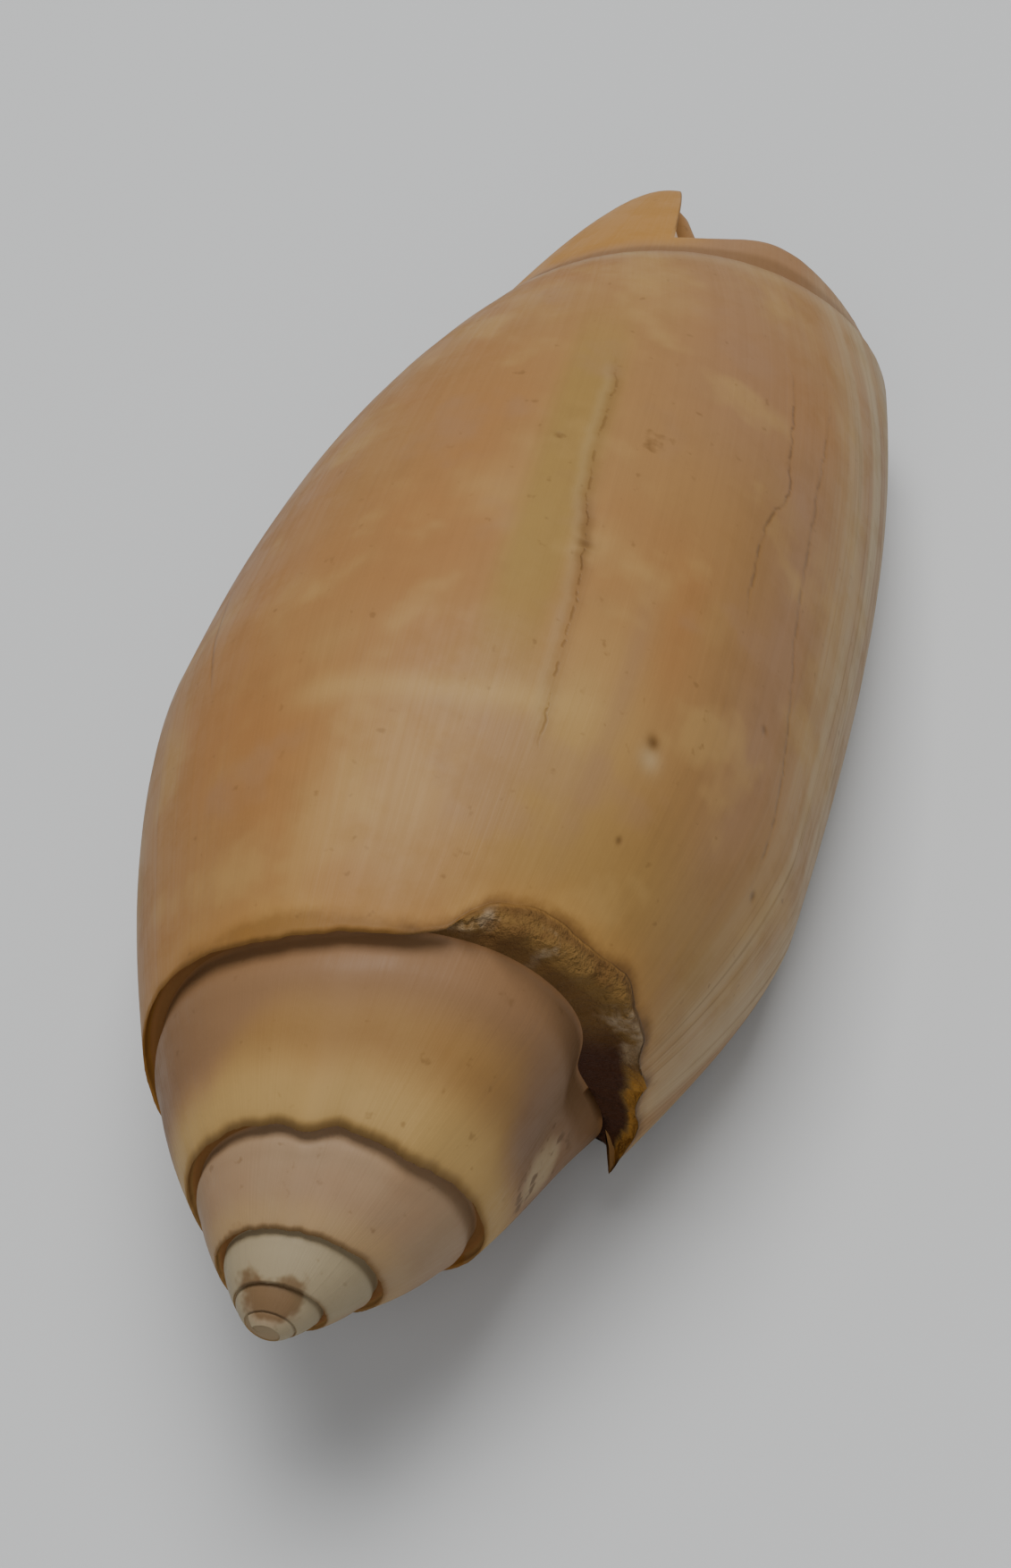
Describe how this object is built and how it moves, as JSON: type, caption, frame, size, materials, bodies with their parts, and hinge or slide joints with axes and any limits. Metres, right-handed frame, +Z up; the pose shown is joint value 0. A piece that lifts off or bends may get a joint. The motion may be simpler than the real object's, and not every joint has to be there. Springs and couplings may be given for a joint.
{
  "type": "olive shell",
  "caption": "Worn tan olive shell with a stepped spire, a long smooth last whorl, a narrow aperture and a notched front tip, lying with its back up.",
  "frame": {"origin": "centre of the bounding box's base, on the ground that the shell lies on", "axes": "+Z up; +Y along the shell from the apex towards the front end, the longest extent; the lip is on the +X side"},
  "size_m": [0.029, 0.0674, 0.0248],
  "materials": {
    "shell": "satin, worn and faded: peach tan with orange-brown patches, pale growth streaks, brown stain in the seams and a cream apex"
  },
  "bodies": {
    "root": {"shell": "shell"}
  },
  "joints": []
}
